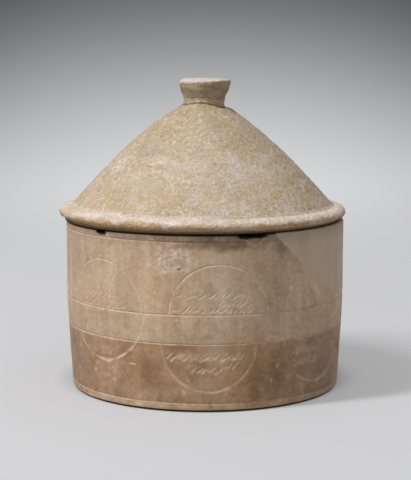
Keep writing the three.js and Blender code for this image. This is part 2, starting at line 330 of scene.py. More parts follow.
# Mesh spacing
PATH_STEP = 0.1
FLANK_SHARES = (-1.7, -1, -0.5, 0, 0.5, 1, 1.7)
BORDER_SPACING = 1.3
WALL_SPACING = 1.5
FILL_SPACING = 1.8
PATCH_SPACING = 0.7
INSIDE_SPACING = 2.5
LID_SPACING = 0.75
LID_INSIDE_SPACING = 2.2
UNDER_SPACING = 1.5
KNOB_SPACING = 0.35
FEWEST_COLUMNS = 8
STAGGER = 0.866
WELD_GAP = 0.15
RING_GAP = 0.6
SHORT_PATH = 50
SHORT_PATH_SPACING = 0.5
LONG_PATH_SPACING = 1.0
SAME_PLACE = 1e-4
SHARP_ANGLE = math.radians(55)


# Places and noise

def around(angle, radius, height):
    """Points at angles round the axis."""
    turn = np.radians(angle)
    flat = np.zeros_like(turn)
    return np.stack([radius * np.sin(turn), -radius * np.cos(turn), height + flat], axis=-1)


def along(angle):
    """An angle as a length on the bowl's outside."""
    return np.radians(angle) * BOWL_RADIUS


def unrolled(points):
    """Places (along, height) of points round the bowl."""
    return np.stack([np.arctan2(points[:, 0], -points[:, 1]) * BOWL_RADIUS, points[:, 2]], axis=1)


def wall_radius(height):
    """Outer radius of the plain wall."""
    below = np.maximum(0, TAPER_HEIGHT - height) / TAPER_HEIGHT
    return BOWL_RADIUS - TAPER_DRAW_IN * below ** TAPER_CURVE


def on_wall(places):
    """Points of the plain wall at places of the unrolled one."""
    return around(np.degrees(places[:, 0] / BOWL_RADIUS), wall_radius(places[:, 1]), places[:, 1])


def from_axis(points):
    """How far points lie from the axis."""
    return np.hypot(points[:, 0], points[:, 1])


def turned(points, angle):
    """Points turned about the axis."""
    turn = math.radians(angle)
    x, y, z = points.T
    across = x * math.cos(turn) - y * math.sin(turn)
    inwards = x * math.sin(turn) + y * math.cos(turn)
    return np.stack([across, inwards, z], axis=1)


def path_lengths(path):
    """How far along a path each of its points lies."""
    return np.concatenate([[0], np.cumsum(np.linalg.norm(np.diff(path, axis=0), axis=1))])


def walk(path, lengths, spots):
    """The places at spots along a path."""
    return np.stack([np.interp(spots, lengths, path[:, i]) for i in range(2)], axis=1)


def lumps(points, size, octaves=2):
    """Smooth noise at points, about -1 to 1, with lumps of a size in millimetres."""
    scaled = (points / size).tolist()
    return np.fromiter((noise.fractal(p, 1.0, 2.0, octaves) for p in scaled), float, len(scaled))


def waves(points, kinds):
    """Unevenness at points, from the depth and size of each wave."""
    return sum(depth * lumps(points, size) for depth, size in kinds)


def smooth(value, low, high):
    """0 below low, 1 above high, and an even rise between them."""
    share = np.clip((value - low) / (high - low), 0, 1)
    return share * share * (3 - 2 * share)


def on_outside(points):
    """1 on the bowl's outer wall and 0 away from it."""
    return smooth(from_axis(points) - wall_radius(points[:, 2]), -2.0, -1.2)


def off_mark(places, mark):
    """How far places lie from a mark's middle, in its half sizes."""
    return (places - [along(mark.angle), mark.height]) / [mark.wide, mark.tall]


def mark_weight(places, mark):
    """A mark's strength at places: whole in its middle, with a ragged edge."""
    offset = off_mark(places, mark)
    near = np.flatnonzero(np.abs(offset).max(axis=1) < 2)
    weight = np.zeros(len(places))
    ragged = lumps(on_wall(places[near]), 0.6 * min(mark.wide, mark.tall) + 0.5)
    distance = np.linalg.norm(offset[near], axis=1) - 0.35 * ragged
    weight[near] = mark.strength * smooth(-distance, -1.15, -0.55)
    return weight


def soft_weight(places, marks):
    """The strongest of several marks at places, each fading out softly."""
    weights = []
    for mark in marks:
        weights.append(mark.strength * np.exp(-(off_mark(places, mark) ** 2).sum(axis=1)))
    return np.max(weights, axis=0)


def marks_weight(places, marks):
    """The strongest of several marks at places."""
    return np.max([mark_weight(places, mark) for mark in marks], axis=0)


# Scored lines

class Score:
    """A scored line on the unrolled wall. Each point of its path has half the line's width, its depth,
    and how much pale stone dust lies in it."""

    def __init__(self, path, half, depth, dust):
        self.path = path
        self.shape = np.stack([np.broadcast_to(x, len(path)) for x in (half, depth, dust)], axis=1)

    def flanks(self, step):
        """Mesh points across the line, a step apart along it."""
        heading = np.gradient(self.path, axis=0)
        heading /= np.linalg.norm(heading, axis=1)[:, None]
        across = np.stack([-heading[:, 1], heading[:, 0]], axis=1) * self.shape[:, :1]
        every = max(1, round(step / PATH_STEP))
        return np.concatenate([(self.path + across * share)[::every] for share in FLANK_SHARES])


class ScoredWall:
    """All the scored lines of a wall, for finding what is cut at a place."""

    def __init__(self, lines):
        self.shapes = np.concatenate([line.shape for line in lines])
        self.tree = plane_tree(np.concatenate([line.path for line in lines]))

    def at(self, places):
        """Depth cut and dust at places."""
        found = [self.tree.find((x, y, 0)) for x, y in places.tolist()]
        half, depth, dust = self.shapes[[f[1] for f in found]].T
        inside = np.clip(1 - np.array([f[2] for f in found]) / half, 0, 1)
        return depth * inside, dust * smooth(inside, 0, 0.6)


def plane_tree(places):
    """A search tree over places."""
    tree = kdtree.KDTree(len(places))
    for number, (x, y) in enumerate(places.tolist()):
        tree.insert((x, y, 0), number)
    tree.balance()
    return tree


def uneven(path, size, least):
    """How well a hand-cut line comes out along its path, from a least share to 1."""
    return least + (1 - least) * smooth(lumps(on_wall(path), size), -0.45, 0.35)


def dust_less_in_shade(path):
    """How much dust shows in a line: less to the right of the front, as painted shade where the lines turn
    away from the light.
    """
    way = path[:, 0]
    return 1 - 0.65 * smooth(way, along(0), along(35)) * smooth(-way, -along(110), -along(80))


def turned_rings():
    """The rings cut round the wall."""
    lines = []
    for height in RING_HEIGHTS:
        way = np.arange(-HALF_ROUND, HALF_ROUND, PATH_STEP)
        path = np.stack([way, np.full(len(way), float(height))], axis=1)
        path[:, 1] += RING_WAVER * lumps(on_wall(path), 30)
        worn = uneven(path, 22, 0.55)
        dust = RING_DUST * worn * dust_less_in_shade(path)
        # The rim ring's dust fades out to the right of -32°: painted shade where the ring lies in the lid's
        # shadow
        if height == RIM_RING:
            dust *= 1 - 0.85 * smooth(path[:, 0], along(-32), along(-10))
        lines.append(Score(path, RING_HALF_WIDTH * (0.75 + 0.25 * worn), RING_DEPTH * worn, dust))
    return lines


def compass_line(angle, height, kind, dust):
    """A half circle struck on the wall, fainter towards its first end."""
    first = math.radians(kind.first)
    turn = np.arange(first, first + math.pi, PATH_STEP / kind.radius)
    path = [along(angle), height] + kind.radius * np.stack([np.cos(turn), np.sin(turn)], axis=1)
    worn = uneven(path, 8, 0.35) * (0.8 - 0.2 * np.cos(turn - first))
    path += COMPASS_WAVER * np.stack([lumps(on_wall(path) + shift, 6) for shift in (0, OTHER_NOISE)], axis=1)
    dusty = dust * worn * (kind.ends + (1 - kind.ends) * np.abs(np.sin(turn)))
    return Score(path, kind.half * (0.7 + 0.3 * worn), kind.depth * worn, dusty)


def tool_marks(angle, height, rows, size, dust):
    """Rows of short slanting gouges like commas, deepest and dustiest at their lower end."""
    lines = []
    for row in rows:
        first = along(angle + row.first)
        count = round((along(angle + row.last) - first) / TOOL_PITCH)
        for number in range(count):
            length = size * rng.uniform(*TOOL_LENGTHS)
            share = np.linspace(0, 1, round(length / PATH_STEP))
            slant = np.radians(rng.uniform(*TOOL_SLANTS) + rng.uniform(*TOOL_BENDS) * (share - 0.5))
            heading = np.stack([np.cos(slant), np.sin(slant)], axis=1)
            start = [
                first + (number + rng.uniform(-TOOL_DRIFT, TOOL_DRIFT)) * TOOL_PITCH,
                height + row.offset - TOOL_LOW_END + rng.uniform(-TOOL_STRAY, TOOL_STRAY),
            ]
            force = rng.uniform(*TOOL_FORCES)
            fade = force * smooth(share, -0.15, 0.12) * (1 - 0.7 * share)
            lines.append(Score(
                start + np.cumsum(heading, axis=0) * PATH_STEP,
                size * TOOL_HALF_WIDTH * (1 - 0.5 * share),
                TOOL_DEPTH * fade,
                dust * fade,
            ))
    return lines


def rows_of(step):
    """The tool-mark rows in a medallion's upper and lower half."""
    if step == WHOLE_CIRCLE_STEP:
        return LEFT_UPPER_ROWS, LEFT_LOWER_ROWS
    if step == LOST_UPPER_HALF_STEP:
        return [], RIGHT_LOWER_ROWS
    return UPPER_ROWS, LOWER_ROWS


def medallions():
    """Two half circles for each medallion, one on the upper ring and one under the lower, with their
    tool marks. The upper halves are crisp and the lower ones broad and chalky."""
    lines = []
    for step in MEDALLION_STEPS:
        middle = MEDALLION_FRONT + MEDALLION_PITCH * step
        upper, lower = middle + UPPER_SLIP, middle + LOWER_SLIP
        upper_rows, lower_rows = rows_of(step)
        dust = FRONT_DUST if step == 0 else SIDE_DUST
        if step != LOST_UPPER_HALF_STEP:
            lines.append(compass_line(upper, UPPER_RING, UPPER_HALF, UPPER_HALF.dust * (1 + dust) / 2))
        if step == WHOLE_CIRCLE_STEP:
            lines.append(compass_line(upper, UPPER_RING, WHOLE_LOWER_HALF, WHOLE_LOWER_HALF.dust))
        else:
            lines.append(compass_line(lower, LOWER_RING, LOWER_HALF, LOWER_HALF.dust * dust))
        lines += tool_marks(upper, UPPER_RING, upper_rows, FINE_TOOL, FINE_TOOL_DUST * dust)
        lines += tool_marks(lower, LOWER_RING, lower_rows, COARSE_TOOL, dust)
    return lines


# Fill outline

def broken_edge(spread):
    """The fill's outline on the unrolled wall, a smooth ragged curve moved outwards by a spread."""
    posts = np.array([(along(angle), BOWL_HEIGHT - FILL_DEPTH * drop) for angle, drop in BROKEN_EDGE])
    posts = np.concatenate([posts[:1], posts, posts[-1:]])
    spot = np.linspace(0, len(BROKEN_EDGE) - 1, EDGE_STEPS)
    start = np.minimum(spot.astype(int), len(BROKEN_EDGE) - 2)
    t = (spot - start)[:, None]
    before, here, there, after = (posts[start + i] for i in range(4))
    edge = 0.5 * (
        2 * here
        + (there - before) * t
        + (2 * before - 5 * here + 4 * there - after) * t ** 2
        + (3 * here - before - 3 * there + after) * t ** 3
    )
    edge[:, 1] += EDGE_RAGGEDNESS * lumps(on_wall(edge), 5, 3)
    heading = np.gradient(edge, axis=0)
    outwards = np.stack([heading[:, 1], -heading[:, 0]], axis=1)
    return edge + spread * outwards / np.linalg.norm(outwards, axis=1)[:, None]


def join_line(spread):
    """The join as an uncut line, so that the mesh follows it."""
    edge = broken_edge(spread)
    lengths = path_lengths(edge)
    path = walk(edge, lengths, np.arange(0, lengths[-1], PATH_STEP))
    return Score(path, JOIN_HALF_WIDTH, 0, JOIN_DUST)


# Meshes

def placed(name, data):
    """A new object in the scene."""
    made = bpy.data.objects.new(name, data)
    bpy.context.scene.collection.objects.link(made)
    return made


def basic_object(name, shape, **sizes):
    """A new object in the scene with one of the basic shapes."""
    mesh = bpy.data.meshes.new(name)
    work = bmesh.new()
    shape(work, **sizes)
    work.to_mesh(mesh)
    work.free()
    return placed(name, mesh)


class Shell:
    """Collects the points and triangles of a closed surface."""

    def __init__(self):
        self.points = np.zeros((0, 3))
        self.triangles = np.zeros((0, 3), int)

    def add(self, points):
        """Adds points and gives their numbers."""
        first = len(self.points)
        self.points = np.concatenate([self.points, points])
        return np.arange(first, len(self.points))

    def cover(self, triangles):
        """Adds triangles between points, apart from those that have no width."""
        rows = np.asarray(triangles, int).reshape(-1, 3)
        flat = (rows[:, 0] == rows[:, 1]) | (rows[:, 1] == rows[:, 2]) | (rows[:, 2] == rows[:, 0])
        self.triangles = np.concatenate([self.triangles, rows[~flat]])

    def ring(self, radius, height, spacing, centre=(0, 0)):
        """Adds an even ring of points, or one point on the axis."""
        count = 1
        if radius > SAME_PLACE:
            count = max(FEWEST_COLUMNS, round(2 * math.pi * radius / spacing))
        angles = np.linspace(-180, 180, count, endpoint=False)
        return self.add(around(angles, radius, height) + np.append(centre, 0))

    def zip(self, first, second):
        """Joins two rings by triangles, whatever their counts."""
        m, n = len(first), len(second)
        rows = []
        i = j = 0
        while i < m or j < n:
            if j == n or (i < m and (i + 1) * n <= (j + 1) * m):
                rows.append((first[i % m], first[(i + 1) % m], second[j % n]))
                i += 1
            else:
                rows.append((first[i % m], second[(j + 1) % n], second[j % n]))
                j += 1
        self.cover(rows)

    def turn(self, start, outline, spacing, aside=None):
        """Carries a turned surface on from a ring along an outline of (radius, height), and gives the
        last ring. The function aside tells how far a ring lies off the axis."""
        for radius, height in outline:
            centre = aside(radius, height) if aside else (0, 0)
            following = self.ring(radius, height, spacing, centre)
            self.zip(start, following)
            start = following
        return start

    def object(self, name):
        """Makes the surface a mesh object in metres, with its faces outwards."""
        used, corners = np.unique(self.triangles, return_inverse=True)
        mesh = bpy.data.meshes.new(name)
        mesh.from_pydata((self.points[used] * MM).tolist(), [], corners.reshape(-1, 3).tolist())
        tidy_mesh(mesh)
        return placed(name, mesh)


def tidy_mesh(mesh):
    """Welds stray corners, turns the faces outwards and shades them smoothly up to sharp edges."""
    work = bmesh.new()
    work.from_mesh(mesh)
    bmesh.ops.remove_doubles(work, verts=work.verts, dist=SAME_PLACE * MM)
    bmesh.ops.recalc_face_normals(work, faces=work.faces)
    work.to_mesh(mesh)
    work.free()
    mesh.shade_smooth()
    mesh.set_sharp_from_angle(angle=SHARP_ANGLE)


def vertex_rows(piece, name):
    """What a piece's vertices keep under a name, as rows of three."""
    flat = np.empty(len(piece.data.vertices) * 3, np.float32)
    piece.data.vertices.foreach_get(name, flat)
    return flat.reshape(-1, 3).astype(float)


def mesh_points(piece):
    """A piece's points in millimetres."""
    return vertex_rows(piece, "co") / MM


def mesh_normals(piece):
    """A piece's normals at its points."""
    return vertex_rows(piece, "normal")


def move_points(piece, points):
    """Puts a piece's points at new places in millimetres."""
    piece.data.vertices.foreach_set("co", (points * MM).astype(np.float32).ravel())
    piece.data.update()


def paint(piece, name, values):
    """Keeps a number at each point of a piece for its finish."""
    layer = piece.data.attributes.new(name, "FLOAT", "POINT")
    layer.data.foreach_set("value", np.asarray(values, np.float32))


def cut(piece, cutter, operation):
    """Cuts a piece by another, which is used up."""
    modifier = piece.modifiers.new("cut", "BOOLEAN")
    modifier.operation = operation
    modifier.solver = "MANIFOLD"
    modifier.object = cutter
    graph = bpy.context.evaluated_depsgraph_get()
    shaped = bpy.data.meshes.new_from_object(piece.evaluated_get(graph))
    piece.modifiers.clear()
    piece.data = shaped
    bpy.data.objects.remove(cutter)
    tidy_mesh(shaped)


def delaunay(places):
    """Triangles between places, as rows of their numbers."""
    found = geometry.delaunay_2d_cdt([Vector(p) for p in places.tolist()], [], [], 0, SAME_PLACE, True)
    faces, sources = found[2], found[3]
    owner = np.array([source[0] for source in sources])
    return owner[np.array(faces)]


def thinned(places, gap):
    """Places with no two in the same small square."""
    first = np.unique(np.round(places / gap).astype(int), axis=0, return_index=True)[1]
    return places[np.sort(first)]


def clear_of(places, others, gap):
    """Those places that keep a gap to others."""
    tree = plane_tree(others)
    return places[[tree.find((x, y, 0))[2] > gap for x, y in places.tolist()]]


def staggered(low, high, spacing):
    """An even staggered grid of places between two corners."""
    rows = np.arange(low[1], high[1], spacing * STAGGER)
    columns = np.arange(low[0], high[0], spacing)
    x, y = np.meshgrid(columns, rows)
    x[1::2] += spacing / 2
    return np.stack([x.ravel(), y.ravel()], axis=1)


def patch_places(marks):
    """Closer places on and round marks."""
    grids = []
    for mark in marks:
        middle = np.array([along(mark.angle), mark.height])
        reach = np.array([mark.wide, mark.tall]) * 1.3 + PATCH_SPACING
        spacing = min(PATCH_SPACING, 0.6 * min(mark.wide, mark.tall))
        grids.append(staggered(middle - reach, middle + reach, spacing))
    return np.concatenate(grids)


# Bowl

def wall_sheet(shell, lines, patches, spacing, worked):
    """Adds the outer wall, whose mesh follows its scored lines, and gives its lowest and highest ring.
    The function worked gives the radius at places."""
    low, high = BASE_EDGE_HEIGHT + BASE_EDGE_ROUND, BOWL_HEIGHT - RIM_EDGE_ROUND
    columns = np.linspace(-HALF_ROUND, HALF_ROUND, round(2 * HALF_ROUND / BORDER_SPACING), endpoint=False)
    cuts = np.add.outer(RING_HEIGHTS, RING_HALF_WIDTH * np.array(FLANK_SHARES)).ravel()
    even = np.arange(low + spacing, high - spacing / 2, spacing)
    even = [height for height in even if np.abs(cuts - height).min() > RING_GAP]
    heights = np.sort(np.concatenate([cuts, even]))
    foot = np.stack([columns, np.full(len(columns), low)], axis=1)
    brim = np.stack([columns, np.full(len(columns), high)], axis=1)
    seam = np.stack([np.full(len(heights), -HALF_ROUND), heights], axis=1)
    border = np.concatenate([foot, brim, seam])
    at_seam = np.flatnonzero(border[:, 0] == -HALF_ROUND)
    far_side = border[at_seam] + [2 * HALF_ROUND, 0]

    edge_places = np.concatenate([border, far_side])
    steps = [SHORT_PATH_SPACING if len(line.path) < SHORT_PATH else LONG_PATH_SPACING for line in lines]
    flanks = np.concatenate([line.flanks(step) for line, step in zip(lines, steps)])
    inner = clear_of(thinned(flanks, WELD_GAP), edge_places, 2 * WELD_GAP)
    plain = staggered((-HALF_ROUND, low), (HALF_ROUND, high), spacing)
    for places, gap in ((patches, 0.5 * PATCH_SPACING), (plain, 0.55 * spacing)):
        inner = np.concatenate([inner, clear_of(places, np.concatenate([inner, edge_places]), gap)])
    within = np.abs(inner[:, 0]) < HALF_ROUND - WELD_GAP
    within &= (inner[:, 1] > low + WELD_GAP) & (inner[:, 1] < high - WELD_GAP)
    inner = inner[within]

    own = np.concatenate([border, inner])
    numbers = shell.add(around(np.degrees(own[:, 0] / BOWL_RADIUS), worked(own), own[:, 1]))
    rows = delaunay(np.concatenate([own, far_side]))
    shell.cover(np.append(numbers, numbers[at_seam])[rows])
    return numbers[:len(foot)], numbers[len(foot):len(foot) + len(brim)]


def arc(centre, radius, first, last, steps):
    """Points of a round corner, without its first one."""
    turn = np.radians(np.linspace(first, last, steps + 1)[1:])
    return [(centre[0] + radius * math.cos(t), centre[1] + radius * math.sin(t)) for t in turn]


def straight(start, end, spacing):
    """Points of a straight stretch, without its first one."""
    steps = max(1, round(math.dist(start, end) / spacing))
    return [tuple(np.array(start) + (np.array(end) - start) * i / steps) for i in range(1, steps + 1)]


def bowl_shell(lines, patches, spacing, worked):
    """The whole bowl as a closed surface."""
    shell = Shell()
    foot, brim = wall_sheet(shell, lines, patches, spacing, worked)
    rim = (BOWL_RADIUS - RIM_EDGE_ROUND, BOWL_HEIGHT)
    lip = (MOUTH_RADIUS + RIM_EDGE_ROUND, BOWL_HEIGHT)
    corner = (MOUTH_RADIUS - INSIDE_CORNER_RADIUS, FLOOR_THICKNESS + INSIDE_CORNER_RADIUS)
    inner_top = (MOUTH_RADIUS, BOWL_HEIGHT - RIM_EDGE_ROUND)
    rim_run = arc((rim[0], BOWL_HEIGHT - RIM_EDGE_ROUND), RIM_EDGE_ROUND, 0, 90, 3)
    rim_run += straight(rim, lip, BORDER_SPACING)
    rim_run += arc((lip[0], BOWL_HEIGHT - RIM_EDGE_ROUND), RIM_EDGE_ROUND, 90, 180, 3)
    mouth = shell.turn(brim, rim_run, BORDER_SPACING)
    inside_run = straight(inner_top, (MOUTH_RADIUS, corner[1]), INSIDE_SPACING)
    inside_run += arc(corner, INSIDE_CORNER_RADIUS, 0, -90, 10)
    inside_run += straight((corner[0], FLOOR_THICKNESS), (0, FLOOR_THICKNESS), INSIDE_SPACING)
    shell.turn(mouth, inside_run, INSIDE_SPACING)
    base_edge = wall_radius(0) - BASE_EDGE_ROUND
    standing = (base_edge - BASE_BEVEL_WIDTH, 0)
    base_run = arc((base_edge, BASE_EDGE_HEIGHT + BASE_EDGE_ROUND), BASE_EDGE_ROUND, 0, -90, 3)
    base_run += straight((base_edge, BASE_EDGE_HEIGHT), standing, BORDER_SPACING)
    base_run += straight(standing, (0, 0), INSIDE_SPACING)
    shell.turn(foot, base_run, INSIDE_SPACING)
    return shell


def fill_block(spread):
    """The block that the fill's outline takes out of the wall, with sides straight out from the axis."""
    edge = broken_edge(spread)
    angles = np.degrees(edge[:, 0] / BOWL_RADIUS)
    near = around(angles, MOUTH_RADIUS / 2, edge[:, 1])
    far = around(angles, BOWL_RADIUS * 2, edge[:, 1])
    shell = Shell()
    inner = shell.add(near)
    outer = shell.add(far)
    shell.zip(inner, outer)
    caps = np.array(geometry.tessellate_polygon([[Vector((x, y, 0)) for x, y in edge.tolist()]]))
    shell.cover(inner[caps])
    shell.cover(outer[caps])
    return shell.object("fill_block")


def chip_lump(chip):
    """A rough lump that takes a chip off the rim's outer edge."""
    lump = basic_object("chip_lump", bmesh.ops.create_icosphere, subdivisions=4, radius=1)
    points = mesh_points(lump) * MM
    points *= 1 + CHIP_ROUGHNESS * lumps(points + chip.angle, 0.8, 3)[:, None]
    points *= [chip.width / 2, chip.reach, chip.depth]
    move_points(lump, turned(points, chip.angle) + around(chip.angle, BOWL_RADIUS, BOWL_HEIGHT))
    return lump


def chip_weight(points):
    """1 on the broken faces of the rim's chips."""
    weight = np.zeros(len(points))
    for chip in RIM_CHIPS:
        away = turned(points - around(chip.angle, BOWL_RADIUS, BOWL_HEIGHT), -chip.angle)
        away /= [chip.width / 2, chip.reach, chip.depth]
        weight = np.maximum(weight, smooth(-np.linalg.norm(away, axis=1), -1.3, -1.1))
    return weight


def scattered_marks(kind):
    """Marks scattered over the unseen part of the wall."""
    marks = []
    for _ in range(kind.count):
        stretch = rng.uniform(0.5, 1.5)
        marks.append(Mark(
            (rng.uniform(*UNSEEN_ANGLES) + 180) % 360 - 180,
            rng.uniform(*UNSEEN_HEIGHTS),
            kind.wide * stretch,
            kind.tall * rng.uniform(0.6, 1.4),
            kind.strength * rng.uniform(0.5, 1),
        ))
    return marks


def make_bowl():
    """The stone bowl, scored, chipped and broken out for the fill."""
    lines = turned_rings() + medallions()
    join = join_line(BREAK_SPREAD)
    chalk_and_sheen = CHALK_AND_SHEEN_MARKS + scattered_marks(UNSEEN_CHALK)
    stains_and_shade = STAIN_AND_SHADE_MARKS + scattered_marks(UNSEEN_STAINS)
    scored = ScoredWall(lines)
    patches = patch_places(chalk_and_sheen + [WORN_PATCH, PIT])

    def worked(places):
        """The wall's radius with its scored lines, worn patch, pit and hand-worked unevenness."""
        plain = on_wall(places)
        depth, _ = scored.at(places)
        worn = mark_weight(places, WORN_PATCH)
        pit = np.linalg.norm(off_mark(places, PIT), axis=1)
        radius = wall_radius(places[:, 1]) - depth
        radius += waves(plain, WALL_WAVES)
        radius -= worn * (WORN_DEPTH + WORN_ROUGHNESS * np.abs(lumps(plain, 2.8, 3)))
        radius -= PIT_DEPTH * smooth(-pit, -0.9, -0.2)
        radius += PIT_LIP * smooth(-np.abs(pit - 1.15), -0.4, 0)
        radius -= CHALK_DEPTH * marks_weight(places, chalk_and_sheen)
        return radius

    bowl = bowl_shell(lines + [join], patches, WALL_SPACING, worked).object("stone_bowl")
    soften_inside(bowl)
    cut(bowl, fill_block(BREAK_SPREAD), "DIFFERENCE")
    for chip in RIM_CHIPS:
        cut(bowl, chip_lump(chip), "DIFFERENCE")

    points = mesh_points(bowl)
    places = unrolled(points)
    radius = from_axis(points)
    outside = on_outside(points)
    _, dust = scored.at(places)
    _, join_dust = ScoredWall([join]).at(places)
    chips = chip_weight(points)
    pale = np.maximum(dust, marks_weight(places, chalk_and_sheen))
    # Stains, and painted shadow under the lid's rolled rim
    stain_and_shade = marks_weight(places, stains_and_shade)
    paint(bowl, "chalk_and_sheen", outside * (1 - chips) * np.maximum(pale, 0.5 * join_dust) * (1 - 0.6 * stain_and_shade))
    paint(bowl, "stain_and_shade", outside * stain_and_shade)
    for tone in TONES:
        paint(bowl, tone.name, outside * soft_weight(places, tone.marks))
    paint(bowl, "worn", outside * mark_weight(places, WORN_PATCH))
    paint(bowl, "chip", chips)
    paint(bowl, "inside", 1 - smooth(radius, MOUTH_RADIUS, MOUTH_RADIUS + 1))
    # Painted shade in the gap under the lid, on the outer part of the rim's top
    rim = smooth(points[:, 2], BOWL_HEIGHT - 0.75, BOWL_HEIGHT - 0.35)
    paint(bowl, "gap_shade", rim * smooth(radius, SEAT_RADIUS - 2.2, SEAT_RADIUS - 0.8))
    return bowl


def soften_inside(bowl):
    """Gives the inside its turning marks, and the rim the wear of use."""
    points = mesh_points(bowl)
    radius = from_axis(points)
    within = smooth(-radius, -MOUTH_RADIUS - 0.2, -MOUTH_RADIUS + 0.2) * smooth(points[:, 2], 5, 8)
    grooves = 0.16 * lumps(points * [0.05, 0.05, 1], 4) + waves(points, INSIDE_WAVES)
    rim = smooth(radius, MOUTH_RADIUS, MOUTH_RADIUS + 1)
    rim *= smooth(points[:, 2], BOWL_HEIGHT - 0.3, BOWL_HEIGHT)
    points += mesh_normals(bowl) * (within * grooves)[:, None]
    points[:, 2] -= rim * RIM_WEAR * (1 + lumps(points, 4))
    move_points(bowl, points)


def make_fill():
    """The restorer's fill, smooth and without scored lines."""
    join = join_line(FILL_SPREAD)

    def worked(places):
        """The fill's radius: a little proud, with the soft unevenness of modelled plaster."""
        return wall_radius(places[:, 1]) + FILL_PROUD + waves(on_wall(places), FILL_WAVES)

    no_patches = np.zeros((0, 2))
    fill = bowl_shell([join], no_patches, FILL_SPACING, worked).object("wall_repair")
    cut(fill, fill_block(FILL_SPREAD), "INTERSECT")
    points = mesh_points(fill)
    places = unrolled(points)
    outside = on_outside(points)
    _, join_dust = ScoredWall([join]).at(places)
    paint(fill, "join", outside * join_dust)
    way = places[:, 0] + 0.4 * lumps(points, 9)
    # Paler towards the right edge: painted light from the right
    paint(fill, "lighter", smooth(way, along(50), along(76)))
    paint(fill, "streak", outside * smooth(-np.abs(way - along(67)), -1.6, -0.4))
    return fill


# Lid

def bezier(foot, first, second, top, share):
    """Points of a curve with two handles."""
    t = share[:, None]
    foot, first, second, top = (np.array(p, float) for p in (foot, first, second, top))
    return (1 - t) ** 3 * foot + 3 * (1 - t) ** 2 * t * first + 3 * (1 - t) * t ** 2 * second + t ** 3 * top


def evenly(points, spacing):
    """An outline's points at even steps along it."""
    lengths = path_lengths(points)
    spots = np.linspace(0, lengths[-1], max(2, round(lengths[-1] / spacing) + 1))
    return walk(points, lengths, spots)


def cone_curve(foot, rise):
    """The swelling cone from its foot to the top on the axis."""
    top = (0, foot[1] + rise)
    first = (foot[0] * (1 - FOOT_HANDLE[0]), foot[1] + rise * FOOT_HANDLE[1])
    second = (foot[0] * CROWN_HANDLE[0], top[1] + rise * CROWN_HANDLE[1])
    return bezier(foot, first, second, top, np.linspace(0, 1, 200))


def bead_curve():
    """The rolled rim from its foot, round the outside and up to the valley."""
    turn = np.radians(np.linspace(BEAD_FOOT_ANGLE, BEAD_VALLEY_ANGLE, 120))
    return BEAD_CENTRE + np.stack([np.cos(turn), np.sin(turn)], axis=1) * [BEAD_WIDTH / 2, BEAD_HEIGHT / 2]


def knob_curve(foot):
    """The knob from its foot on the cone: a groove, a little ridge, the flare and the worn top edge."""
    edge = KNOB_TOP - KNOB_DOME_HEIGHT
    low, high = (CROWN_HEIGHT + (edge - CROWN_HEIGHT) * share for share in FLARE_HANDLES)
    share = np.linspace(0, 1, 40)
    flare = bezier(
        (KNOB_WAIST_RADIUS, CROWN_HEIGHT), (KNOB_WAIST_RADIUS, low),
        (KNOB_TOP_RADIUS, high), (KNOB_TOP_RADIUS, edge), share)
    dome = bezier(
        (KNOB_TOP_RADIUS, edge), (KNOB_TOP_RADIUS, KNOB_TOP - 0.2),
        (KNOB_TOP_RADIUS * 0.75, KNOB_TOP), (0, KNOB_TOP), share)
    middle = (KNOB_WAIST_RADIUS, foot[1] + RIDGE_HEIGHT)
    bottom = foot[1] - GROOVE_DEPTH
    groove = [(foot[0] - 0.25, bottom), (KNOB_WAIST_RADIUS, bottom)]
    ridge = arc(middle, RIDGE_RADIUS, -70, 90, 8)
    above = flare[flare[:, 1] > ridge[-1][1] + 0.3]
    return np.concatenate([groove, ridge, above, dome[1:]])


def knob_shift(radius, height, groove_radius):
    """How far a ring of the lid lies off its axis: the knob sits a little aside and leans."""
    if radius < groove_radius or height > CROWN_HEIGHT:
        tilt = (height - CROWN_HEIGHT) / KNOB_HEIGHT
        return KNOB_SHIFT + [KNOB_LEAN * (tilt - 0.6), 0]
    near = smooth(-radius, -22, -groove_radius) if height > CROWN_HEIGHT - 12 else 0
    return near * (KNOB_SHIFT - [0.6 * KNOB_LEAN, 0])


def lid_shell():
    """The whole lid as a closed surface."""
    shell = Shell()
    bead = bead_curve()
    valley = bead[-1]
    hollow = cone_curve((FLANGE_INNER_RADIUS, SEAT_HEIGHT), CROWN_HEIGHT - CROWN_THICKNESS - SEAT_HEIGHT)
    corners = [
        (FLANGE_INNER_RADIUS, SEAT_HEIGHT),
        (FLANGE_INNER_RADIUS, FLANGE_BOTTOM),
        (FLANGE_RADIUS, FLANGE_BOTTOM),
        (FLANGE_RADIUS, SEAT_HEIGHT),
        (SEAT_RADIUS, SEAT_HEIGHT),
        bead[0],
    ]
    runs = [straight(start, end, UNDER_SPACING) for start, end in zip(corners, corners[1:])]
    under = np.concatenate([evenly(hollow[::-1], LID_INSIDE_SPACING), *runs])
    cone = evenly(cone_curve(valley, CROWN_HEIGHT - valley[1]), LID_SPACING)
    cone = cone[cone[:, 0] > KNOB_WAIST_RADIUS + GROOVE_WIDTH]
    knob = evenly(knob_curve(cone[-1]), KNOB_SPACING)
    roll = evenly(bead, LID_SPACING)[1:]
    outer = np.concatenate([roll, cone[1:], knob])
    bottom = np.arange(len(roll) - VALLEY_REACH, len(roll) + VALLEY_REACH)
    for _ in range(VALLEY_ROUNDS):
        outer[bottom] = (outer[bottom - 1] + outer[bottom] + outer[bottom + 1]) / 3
    last = shell.ring(*under[0], LID_INSIDE_SPACING)
    last = shell.turn(last, under[1:], LID_INSIDE_SPACING)
    shell.turn(last, outer, LID_SPACING, lambda radius, height: knob_shift(radius, height, cone[-1, 0]))
    return shell


